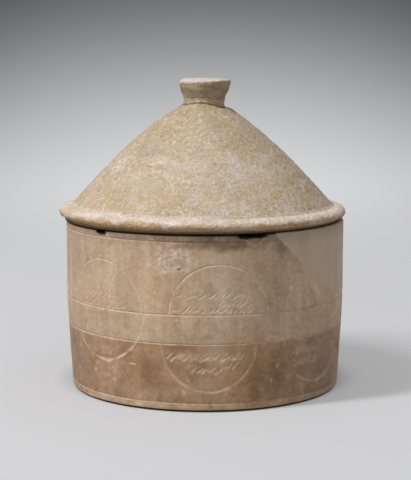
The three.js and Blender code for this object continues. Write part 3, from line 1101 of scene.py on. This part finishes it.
def make_lid():
    """The stone lid with its sugary, turned surface."""
    lid = lid_shell().object("stone_lid")
    points = mesh_points(lid)
    normals = mesh_normals(lid)
    x, y, z = points.T
    radius = from_axis(points)
    outer = smooth(z - SEAT_HEIGHT, 0.2, 1.5) * smooth(normals[:, 2], -0.95, -0.6)
    pits = smooth(lumps(points + 40, 1.5), 0.5, 0.75) * outer
    shape = waves(points, LID_WAVES)
    shape += 0.05 * lumps(points * [0.08, 0.08, 1], 1.1) * smooth(lumps(points, 20), -0.3, 0.4)
    moved = points + normals * (outer * shape - LID_PIT_DEPTH * pits)[:, None]
    drop = x * math.tan(math.radians(LID_LEAN)) * smooth(z, SEAT_HEIGHT, SEAT_HEIGHT + 2)
    foot = smooth(-np.abs(z - CROWN_HEIGHT + 1.5), -3.5, -1) * (radius < KNOB_WAIST_RADIUS + 4)
    collar = smooth(-y, 2, 10) * smooth(-np.abs(x), -12, -3)
    drop += foot * (FOOT_DROP * smooth(x, -1, 12) - FOOT_LIFT - COLLAR_LIFT * collar)
    move_points(lid, moved + np.append(LID_CENTRE, 0) - np.outer(drop, [0, 0, 1]))

    places = unrolled(points)
    valley_radius, valley_height = bead_curve()[-1]
    bead = smooth(radius + 0.5 * lumps(points, 8), valley_radius - 1.6, valley_radius - 0.4)
    from_knob = from_axis(points - np.append(KNOB_SHIFT, 0))
    crown = z > CROWN_HEIGHT - 6
    crown_foot = z[crown].min()
    knob = smooth(z, CROWN_HEIGHT + 0.1, CROWN_HEIGHT + 0.7)
    # Painted shade in the groove round the knob's foot and in the valley above the rolled rim, stronger to
    # the right, away from the light
    groove = crown * (1 - knob) * smooth(-z, -crown_foot - 5.2, -crown_foot - 4.2)
    groove *= smooth(-from_knob, -KNOB_WAIST_RADIUS - GROOVE_WIDTH - 0.5, -KNOB_WAIST_RADIUS - 0.4)
    groove *= 0.15 + 0.35 * smooth(x, 0, 9)
    crease = smooth(-np.abs(radius - valley_radius), -1.1, -0.2)
    crease *= smooth(-np.abs(z - valley_height), -2, -1)
    crease *= 0.15 + 0.35 * smooth(x, -10, 20)
    # The knob's pale worn top edge reaches lower on the left: partly a painted highlight where the light
    # falls
    worn_and_lit_edge = KNOB_TOP - 1.75 + 0.055 * x + 0.3 * lumps(points, 4)
    paint(lid, "bead", bead)
    paint(lid, "knob", knob)
    paint(lid, "knob_top", knob * smooth(z - worn_and_lit_edge, -0.35, 0.35))
    paint(lid, "pit", pits)
    paint(lid, "crease_shade", np.maximum(groove, crease))
    paint(lid, "ochre", marks_weight(places, OCHRE_MARKS))
    paint(lid, "grey", marks_weight(places, GREY_MARKS))
    paint(lid, "pale", np.maximum(marks_weight(places, PALE_MARKS), soft_weight(places, LID_GLOW)))
    return lid


# Shader expressions

class Value:
    """A shader socket that can stand in a Python expression. Each operation adds a Math node."""

    def __init__(self, nodes, socket):
        self.nodes = nodes
        self.socket = socket

    def __add__(self, other):
        return self.nodes.maths("ADD", self, other)

    def __radd__(self, other):
        return self.nodes.maths("ADD", other, self)

    def __sub__(self, other):
        return self.nodes.maths("SUBTRACT", self, other)

    def __rsub__(self, other):
        return self.nodes.maths("SUBTRACT", other, self)

    def __mul__(self, other):
        return self.nodes.maths("MULTIPLY", self, other)

    def __rmul__(self, other):
        return self.nodes.maths("MULTIPLY", other, self)


class Nodes:
    """Adds nodes to one node tree."""

    def __init__(self, owner):
        owner.use_nodes = True
        self.tree = owner.node_tree
        self.tree.nodes.clear()

    def node(self, kind, settings=None, inputs=None, output=0):
        """Adds a node: its settings first, then the values or links of its sockets. Gives an output."""
        made = self.tree.nodes.new(kind)
        for name, value in (settings or {}).items():
            setattr(made, name, value)
        for key, value in (inputs or {}).items():
            if isinstance(value, Value):
                self.tree.links.new(value.socket, made.inputs[key])
            else:
                made.inputs[key].default_value = value
        return Value(self, made.outputs[output]) if len(made.outputs) else None

    def maths(self, operation, first, second):
        """A Math node on two values."""
        return self.node("ShaderNodeMath", {"operation": operation}, {0: first, 1: second})

    def step(self, value, low, high):
        """0 below low, 1 above high, and an even rise between them."""
        return self.node(
            "ShaderNodeMapRange",
            {"interpolation_type": "SMOOTHSTEP"},
            {"Value": value, "From Min": low, "From Max": high},
        )

    def mix(self, share, first, second):
        """From a first colour to a second by a share."""
        inputs = {0: share, 6: first, 7: second}
        return self.node("ShaderNodeMix", {"data_type": "RGBA"}, inputs, 2)

    def shade(self, colour, share):
        """A colour made darker or lighter by a factor that varies."""
        factor = self.node("ShaderNodeCombineColor", None, {"Red": share, "Green": share, "Blue": share})
        settings = {"data_type": "RGBA", "blend_type": "MULTIPLY"}
        return self.node("ShaderNodeMix", settings, {0: 1.0, 6: colour, 7: factor}, 2)


class Finish(Nodes):
    """The finish of one piece. Its textures lie in the piece's own place, in millimetres."""

    def __init__(self, name):
        self.material = bpy.data.materials.new(name)
        super().__init__(self.material)
        place = self.node("ShaderNodeTexCoord", output="Object")
        scale = (1 / MM,) * 3
        self.place = self.node("ShaderNodeVectorMath", {"operation": "MULTIPLY"}, {0: place, 1: scale})
        self.height = self.node("ShaderNodeSeparateXYZ", None, {0: self.place}, "Z")

    def scaled(self, size):
        """The place in units of a size, given for all directions or for each."""
        x, y, z = size if isinstance(size, tuple) else (size,) * 3
        inputs = {0: self.place, 1: (1 / x, 1 / y, 1 / z)}
        return self.node("ShaderNodeVectorMath", {"operation": "MULTIPLY"}, inputs)

    def cloud(self, size, low=0.35, high=0.65, seed=0.0):
        """Soft patches of a size, from 0 to 1."""
        inputs = {"Vector": self.scaled(size), "W": seed, "Scale": 1.0, "Detail": 6.0, "Roughness": 0.58}
        found = self.node("ShaderNodeTexNoise", {"noise_dimensions": "4D"}, inputs, "Fac")
        return self.step(found, low, high)

    def grains(self, size, seed=0.0):
        """A random number for each grain of a size, from 0 to 1."""
        inputs = {"Vector": self.scaled(size), "W": seed, "Scale": 1.0}
        colour = self.node("ShaderNodeTexVoronoi", {"voronoi_dimensions": "4D"}, inputs, "Color")
        return self.node("ShaderNodeSeparateColor", None, {0: colour}, "Red")

    def painted(self, name):
        """A number kept at the piece's points."""
        return self.node("ShaderNodeAttribute", {"attribute_name": name}, None, "Fac")

    def bump(self, height, distance):
        """A fine relief of a depth in millimetres."""
        inputs = {"Height": height, "Strength": 1.0, "Distance": distance * MM}
        return self.node("ShaderNodeBump", None, inputs)

    def done(self, colour, roughness, normal, shine):
        """Joins the colour, roughness and relief in the surface's shader, and gives the material."""
        inputs = {"Base Color": colour, "Roughness": roughness, "Normal": normal, "Specular IOR Level": shine}
        shader = self.node("ShaderNodeBsdfPrincipled", None, inputs)
        self.node("ShaderNodeOutputMaterial", None, {"Surface": shader})
        return self.material


# Finishes

# Colours of the bowl: tan, brown and golden stone, and what lies on them
DEEP_TAN = rgb(0.52, 0.375, 0.24)
LIGHT_TAN = rgb(0.66, 0.49, 0.33)
PINK_TAN = rgb(0.65, 0.445, 0.315)
OLIVE_TAN = rgb(0.54, 0.435, 0.29)
RUST_TAN = rgb(0.46, 0.305, 0.18)
GREY_TAN = rgb(0.53, 0.365, 0.265)
DEEP_BROWN = rgb(0.33, 0.195, 0.108)
LIGHT_BROWN = rgb(0.50, 0.30, 0.17)
PALE_BROWN = rgb(0.56, 0.36, 0.215)
DARK_BROWN = rgb(0.23, 0.13, 0.072)
DEEP_GOLD = rgb(0.51, 0.345, 0.205)
LIGHT_GOLD = rgb(0.65, 0.46, 0.305)
STAIN_AND_SHADE = rgb(0.185, 0.125, 0.072)
WORN_STONE = rgb(0.78, 0.63, 0.505)
INSIDE_STONE = rgb(0.48, 0.375, 0.265)
STREAK = rgb(0.30, 0.175, 0.10)
BLOTCH = rgb(0.33, 0.20, 0.12)
BRIGHT_SPOT = rgb(0.78, 0.60, 0.46)
CHALK_AND_SHEEN = rgb(0.84, 0.685, 0.53)
BROKEN_STONE = rgb(0.52, 0.36, 0.235)
CHIP_SHADE = rgb(0.05, 0.018, 0.012)
GAP_SHADE = rgb(0.07, 0.045, 0.03)

# Colours of the fill
DEEP_PLASTER = rgb(0.487, 0.383, 0.281)
LIGHT_PLASTER = rgb(0.54, 0.426, 0.319)
PALE_PLASTER = rgb(0.66, 0.545, 0.43)
PLASTER_STREAK = rgb(0.40, 0.26, 0.16)
JOIN = rgb(0.66, 0.53, 0.41)

# Colours of the lid: sandy stone, the rolled rim, the knob, and what lies on them
DEEP_SAND = rgb(0.49, 0.38, 0.245)
LIGHT_SAND = rgb(0.58, 0.47, 0.335)
PINK_SAND = rgb(0.59, 0.49, 0.425)
OCHRE_SAND = rgb(0.52, 0.365, 0.195)
HIGH_SAND = rgb(0.43, 0.325, 0.185)
DEEP_ROLL = rgb(0.65, 0.53, 0.43)
LIGHT_ROLL = rgb(0.76, 0.65, 0.55)
ROLL_STAIN = rgb(0.50, 0.28, 0.13)
ROLL_SPECK = rgb(0.25, 0.15, 0.09)
GREY_MARK = rgb(0.40, 0.355, 0.31)
OCHRE_MARK = rgb(0.52, 0.33, 0.155)
PALE_MARK = rgb(0.74, 0.66, 0.585)
DEEP_KNOB = rgb(0.325, 0.247, 0.155)
LIGHT_KNOB = rgb(0.43, 0.325, 0.213)
KNOB_WEAR_AND_HIGHLIGHT = rgb(0.66, 0.59, 0.52)
CRYSTAL = rgb(0.80, 0.72, 0.61)
LID_PIT = rgb(0.25, 0.18, 0.11)
CREASE_SHADE = rgb(0.20, 0.14, 0.085)
UNDER_ROLL_STAIN_AND_SHADE = rgb(0.24, 0.17, 0.10)
JOINT_SHADE = rgb(0.03, 0.015, 0.008)


def polished_stone():
    """The bowl: mottled beige stone, brown under the lower ring and golden on the strip at the base."""
    s = Finish("polished_stone")
    tan = s.mix(s.cloud(26), DEEP_TAN, LIGHT_TAN)
    tan = s.mix(s.cloud(9, 0.45, 0.65, seed=3.0) * 0.6, tan, PINK_TAN)
    tan = s.mix(s.cloud(11, 0.5, 0.68, seed=5.0) * 0.5, tan, OLIVE_TAN)
    tan = s.mix(s.cloud(7, 0.54, 0.7, seed=6.0) * 0.5, tan, RUST_TAN)
    tan = s.mix(s.cloud((6, 6, 60), 0.45, 0.62, seed=7.0) * 0.3, tan, GREY_TAN)
    brown = s.mix(s.cloud(17, 0.3, 0.7, seed=8.0), DEEP_BROWN, LIGHT_BROWN)
    brown = s.mix(s.cloud(7, 0.42, 0.66, seed=9.0) * 0.6, brown, PALE_BROWN)
    brown = s.mix(s.cloud(9, 0.48, 0.72, seed=11.0) * 0.7, brown, DARK_BROWN)
    line = s.height + (s.cloud(5, seed=12.0) - 0.5) * 0.8
    strip = s.mix(s.cloud(7, seed=13.0), DEEP_GOLD, LIGHT_GOLD)
    brown = s.mix(s.step(line, 2.6, 3.6), strip, brown)
    stone = s.mix(s.step(line, LOWER_RING - 0.9, LOWER_RING + 0.2), brown, tan)
    patchy = 0.35 + 0.55 * s.cloud(6, seed=15.0)
    for tone in TONES:
        stone = s.mix(s.painted(tone.name) * patchy, stone, tone.colour)
    # Stains, and painted shadow under the lid's rolled rim
    stain_and_shade = s.painted("stain_and_shade") * (0.6 + 0.4 * s.cloud(7, seed=14.0))
    stone = s.mix(stain_and_shade, stone, STAIN_AND_SHADE)
    worn = s.painted("worn")
    stone = s.mix(worn * s.cloud(2.4, 0.4, 0.6, seed=17.0) * 0.85, stone, WORN_STONE)
    stone = s.mix(s.painted("inside") * 0.8, stone, INSIDE_STONE)
    streaks = s.cloud((7, 7, 40), 0.35, 0.65, seed=19.0) * (0.4 + 0.6 * s.cloud(22, seed=18.0))
    stone = s.mix(0.34 * streaks, stone, STREAK)
    blotches = s.cloud(8, 0.48, 0.64, seed=30.0) * s.cloud(18, 0.35, 0.6, seed=31.0)
    stone = s.mix(0.3 * blotches, stone, BLOTCH)
    bright = s.cloud(4, 0.55, 0.66, seed=32.0) * s.cloud(11, 0.4, 0.6, seed=33.0)
    stone = s.mix(0.3 * bright, stone, BRIGHT_SPOT)
    stone = s.shade(stone, 0.90 + 0.2 * s.cloud(1.8, 0.3, 0.7, seed=20.0))
    # Chalky dust, with painted highlights and a painted sheen along the left edge
    chalk_and_sheen = s.painted("chalk_and_sheen") * (0.5 + 0.5 * s.cloud(2.5, seed=22.0))
    stone = s.mix(chalk_and_sheen, stone, CHALK_AND_SHEEN)
    deep = s.step(s.height + s.cloud(2, seed=24.0), BOWL_HEIGHT - 2.4, BOWL_HEIGHT - 0.9)
    broken = s.mix(deep, BROKEN_STONE, CHIP_SHADE)
    stone = s.mix(s.painted("chip"), stone, broken)
    # Painted shade in the gap under the lid
    stone = s.mix(s.painted("gap_shade") * 0.9, stone, GAP_SHADE)
    # Painted shade under the lid's overhang
    stone = s.shade(stone, 1 - UNDER_LID_SHADE * s.step(s.height, *UNDER_LID))
    roughness = 0.42 + 0.14 * s.cloud(7, seed=26.0) + 0.25 * chalk_and_sheen + 0.2 * worn
    relief = s.bump(s.cloud(0.9, 0.2, 0.8, seed=28.0) + 2 * s.cloud(4, 0.2, 0.8, seed=29.0), 0.035)
    return s.done(stone, roughness, relief, 0.16)


def plain_fill():
    """The fill: smooth, greyer and almost even, with a pale line along the join."""
    s = Finish("plain_fill")
    plaster = s.mix(s.cloud((14, 14, 30)), DEEP_PLASTER, LIGHT_PLASTER)
    plaster = s.shade(plaster, 0.95 + 0.06 * s.cloud(3, seed=3.0) + 0.04 * s.cloud(1, seed=4.0))
    # Paler towards the right edge: painted light from the right
    plaster = s.mix(s.painted("lighter") * 0.3, plaster, PALE_PLASTER)
    plaster = s.mix(s.painted("streak") * 0.4, plaster, PLASTER_STREAK)
    plaster = s.mix(s.painted("join") * 0.6, plaster, JOIN)
    # Painted shade under the lid's overhang
    plaster = s.shade(plaster, 1 - UNDER_LID_SHADE * s.step(s.height, *UNDER_LID))
    roughness = 0.5 + 0.1 * s.cloud(6, seed=6.0)
    relief = s.bump(s.cloud(1.1, 0.2, 0.8, seed=7.0), 0.02)
    return s.done(plaster, roughness, relief, 0.16)


def grainy_stone():
    """The lid: sandy, sugary stone with faint turning lines, a paler rolled rim stained low down, and a brown
    knob with a worn pale top whose edge reaches lower on the left as a painted highlight. Painted shade lies
    in its creases and on the band under the rolled rim."""
    s = Finish("grainy_stone")
    sand = s.mix(s.cloud(20), DEEP_SAND, LIGHT_SAND)
    sand = s.mix(s.cloud(9, 0.46, 0.66, seed=3.0) * 0.85, sand, PINK_SAND)
    sand = s.mix(s.cloud((9, 9, 5), 0.5, 0.66, seed=5.0) * 0.8, sand, OCHRE_SAND)
    sand = s.shade(sand, 0.965 + 0.07 * s.cloud((14, 14, 1.1), 0.3, 0.7, seed=7.0))
    sand = s.mix(0.4 * s.step(s.height, 122, 140), sand, HIGH_SAND)
    roll = s.mix(s.cloud(10, seed=9.0), DEEP_ROLL, LIGHT_ROLL)
    wavy = s.height + 2.4 * (s.cloud((7, 7, 4), seed=11.0) - 0.5)
    low = 1 - s.step(wavy, BEAD_CENTRE[1] - 0.6, BEAD_CENTRE[1] + 1.5)
    roll = s.mix(low * (0.55 + 0.45 * s.cloud(8, 0.4, 0.6, seed=12.0)), roll, ROLL_STAIN)
    roll = s.mix(low * s.cloud(2.2, 0.56, 0.68, seed=21.0) * 0.7, roll, ROLL_SPECK)
    stone = s.mix(s.painted("bead"), sand, roll)
    rough_edge = 0.6 + 0.4 * s.cloud(1.6, seed=13.0)
    stone = s.mix(s.painted("grey") * rough_edge, stone, GREY_MARK)
    stone = s.mix(s.painted("ochre") * rough_edge, stone, OCHRE_MARK)
    stone = s.mix(s.painted("pale") * rough_edge, stone, PALE_MARK)
    side = s.mix(s.cloud((9, 9, 2.5), seed=14.0), DEEP_KNOB, LIGHT_KNOB)
    # Worn pale top of the knob, partly a painted highlight on its left
    stone = s.mix(s.painted("knob"), stone, s.mix(s.painted("knob_top"), side, KNOB_WEAR_AND_HIGHLIGHT))
    sugar = 0.4 + 0.6 * s.cloud(13, 0.4, 0.6, seed=22.0)
    grain = s.grains(1.0, 1.0) + s.grains((2.6, 2.6, 1.1), 2.0) - 1.0
    stone = s.shade(stone, 1.02 + 0.24 * sugar * grain + 0.2 * (s.cloud(1.3, 0.3, 0.7, 16.0) - 0.5))
    crystals = sugar * s.step(s.grains(1.2), 0.88, 0.92) * (1 - s.painted("knob"))
    stone = s.mix(0.5 * crystals, stone, CRYSTAL)
    stone = s.mix(s.painted("pit") * 0.5, stone, LID_PIT)
    # Painted shade in the creases
    stone = s.mix(s.painted("crease_shade") * 0.75, stone, CREASE_SHADE)
    # Brown stain and painted shade on the band under the rolled rim
    under = s.painted("bead") * (1 - s.step(s.height, SEAT_HEIGHT + 1.0, SEAT_HEIGHT + 2.2))
    stone = s.mix(under, stone, UNDER_ROLL_STAIN_AND_SHADE)
    joint = s.painted("bead") * (1 - s.step(s.height, SEAT_HEIGHT + 0.3, SEAT_HEIGHT + 0.8))
    stone = s.mix(joint, stone, JOINT_SHADE)
    roughness = 0.7 + 0.16 * s.cloud(3, seed=18.0)
    relief = s.cloud(1.0, 0.2, 0.8, seed=19.0) + 0.4 * s.cloud((5, 5, 0.7), 0.2, 0.8, seed=20.0)
    relief = s.bump(relief + 0.6 * s.grains(1.0, 1.0), 0.28)
    return s.done(stone, roughness, relief, 0.25)


# Stage

FLOOR_COLOUR = rgb(0.392, 0.392, 0.401)
FLOOR_GLOW = rgb(0.235, 0.235, 0.240)
FLOOR_BOUNCE = rgb(0.40, 0.40, 0.40)
FLOOR_RADIUS = 1.6
FLOOR_HEIGHT = -0.0011
GLOW_SHIFT = 14
FLOOR_FADE_FROM = 0.2
FLOOR_FADE_TO = 1.2
BACKDROP_LOW = rgb(0.73, 0.735, 0.745)
BACKDROP_HIGH = rgb(0.112, 0.122, 0.13)
BACKDROP_FROM = math.sin(math.radians(-7))
BACKDROP_TO = math.sin(math.radians(3))
CORNER_LOW = 8
CORNER_HIGH = 20
CORNER_LIMIT = 0.025
SKY_LOW = 0.24
SKY_HIGH = 0.5
SKY_RIGHT = 0.46
SKY_FRONT = 0.6
KEY_POWER = 37
KEY_WIDTH = 0.25
KEY_HEIGHT = 1.15
KEY_PLACE = (-1.25, -0.70, 1.70)
KEY_TARGET = (0, 0, 0.08)
CAMERA_PLACE = (0.0003, -0.820, 0.190)
CAMERA_TILT = 82.16
CAMERA_LENS = 113.82


def looked_at(nodes):
    """1 for rays that show a thing to the camera, straight or mirrored, and 0 for those that light."""
    rays = [nodes.node("ShaderNodeLightPath", output=name) for name in (
        "Is Camera Ray", "Is Glossy Ray", "Is Transmission Ray")]
    return nodes.maths("MAXIMUM", nodes.maths("MAXIMUM", rays[0], rays[1]), rays[2])


def make_floor():
    """A pale floor that fades into the backdrop, a hair under the base for the dark line of contact. A part
    of its tone is even, for a light shadow, but not close to the base at its sides, where leaving it out
    paints a contact shadow."""
    floor = basic_object("floor", bmesh.ops.create_circle, cap_ends=True, segments=96, radius=FLOOR_RADIUS)
    floor.location.z = FLOOR_HEIGHT
    s = Finish("floor")
    distance = s.node("ShaderNodeVectorMath", {"operation": "LENGTH"}, {0: s.place}, "Value")
    fade = s.step(distance, FLOOR_FADE_FROM / MM, FLOOR_FADE_TO / MM)
    colour = s.mix(looked_at(s), FLOOR_BOUNCE, FLOOR_COLOUR)
    matt = s.node("ShaderNodeBsdfDiffuse", None, {"Color": colour})
    centres = {0: s.place, 1: (0, GLOW_SHIFT, 0)}
    from_behind = s.node("ShaderNodeVectorMath", {"operation": "DISTANCE"}, centres, "Value")
    base = wall_radius(0)
    # Painted contact shadow: less of the even tone close to the base at its sides
    clear = s.step(distance, base - 1.6, base - 0.2)
    clear = clear * (0.5 + 0.5 * s.step(from_behind, base - 2, base + GLOW_SHIFT))
    glow = s.mix(clear * looked_at(s), rgb(0, 0, 0), FLOOR_GLOW)
    even = s.node("ShaderNodeEmission", None, {"Color": glow, "Strength": 1.0})
    matt = s.node("ShaderNodeAddShader", None, {0: matt, 1: even})
    gone = s.node("ShaderNodeBsdfTransparent")
    surface = s.node("ShaderNodeMixShader", None, {0: fade, 1: matt, 2: gone})
    s.node("ShaderNodeOutputMaterial", None, {"Surface": surface})
    floor.data.materials.append(s.material)


def make_world():
    """A soft sky that lights the object from above, and a backdrop that darkens upwards and to the
    corners where it is seen."""
    world = bpy.data.worlds.new("studio")
    bpy.context.scene.world = world
    w = Nodes(world)
    direction = w.node("ShaderNodeTexCoord", output="Generated")
    side, back, rise = (w.node("ShaderNodeSeparateXYZ", None, {0: direction}, name) for name in "XYZ")
    upwards = w.step(rise, BACKDROP_FROM, BACKDROP_TO)
    seen = w.mix(upwards, BACKDROP_LOW, BACKDROP_HIGH)
    aside = w.maths("MINIMUM", side * side, CORNER_LIMIT)
    seen = w.shade(seen, 1 - (CORNER_LOW + (CORNER_HIGH - CORNER_LOW) * upwards) * aside)
    level = SKY_LOW + (SKY_HIGH - SKY_LOW) * w.step(rise, 0.0, 1.0)
    leaning = 1 + SKY_RIGHT * side + SKY_FRONT * w.maths("MAXIMUM", 0 - back, 0)
    sky = w.shade(rgb(1, 1, 1), level * leaning)
    colour = w.mix(looked_at(w), sky, seen)
    background = w.node("ShaderNodeBackground", None, {"Color": colour, "Strength": 1.0})
    w.node("ShaderNodeOutputWorld", None, {"Surface": background})


def make_key_light():
    """A tall strip light, high on the left and a little in front."""
    light = bpy.data.lights.new("key", "AREA")
    light.shape = "RECTANGLE"
    light.size = KEY_WIDTH
    light.size_y = KEY_HEIGHT
    light.energy = KEY_POWER
    key = placed("key", light)
    key.location = KEY_PLACE
    key.rotation_euler = (Vector(KEY_TARGET) - Vector(KEY_PLACE)).to_track_quat("-Z", "Y").to_euler()


def make_camera():
    """The camera at the photograph's place."""
    data = bpy.data.cameras.new("camera")
    data.lens = CAMERA_LENS
    camera = placed("camera", data)
    camera.location = CAMERA_PLACE
    camera.rotation_euler = (math.radians(CAMERA_TILT), 0, 0)
    bpy.context.scene.camera = camera


# Assembly

def fit(piece, material, node, body):
    """Gives a piece its finish, and puts it in its node's stead on its body."""
    piece.data.materials.clear()
    piece.data.materials.append(material)
    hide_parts(node)
    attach(piece, body)


bpy.context.scene.view_settings.view_transform = "Standard"
make_camera()
make_world()
make_key_light()
make_floor()
fit(make_bowl(), polished_stone(), "bowl", "bowl")
fit(make_fill(), plain_fill(), "wall_fill", "bowl")
fit(make_lid(), grainy_stone(), "lid", "lid")
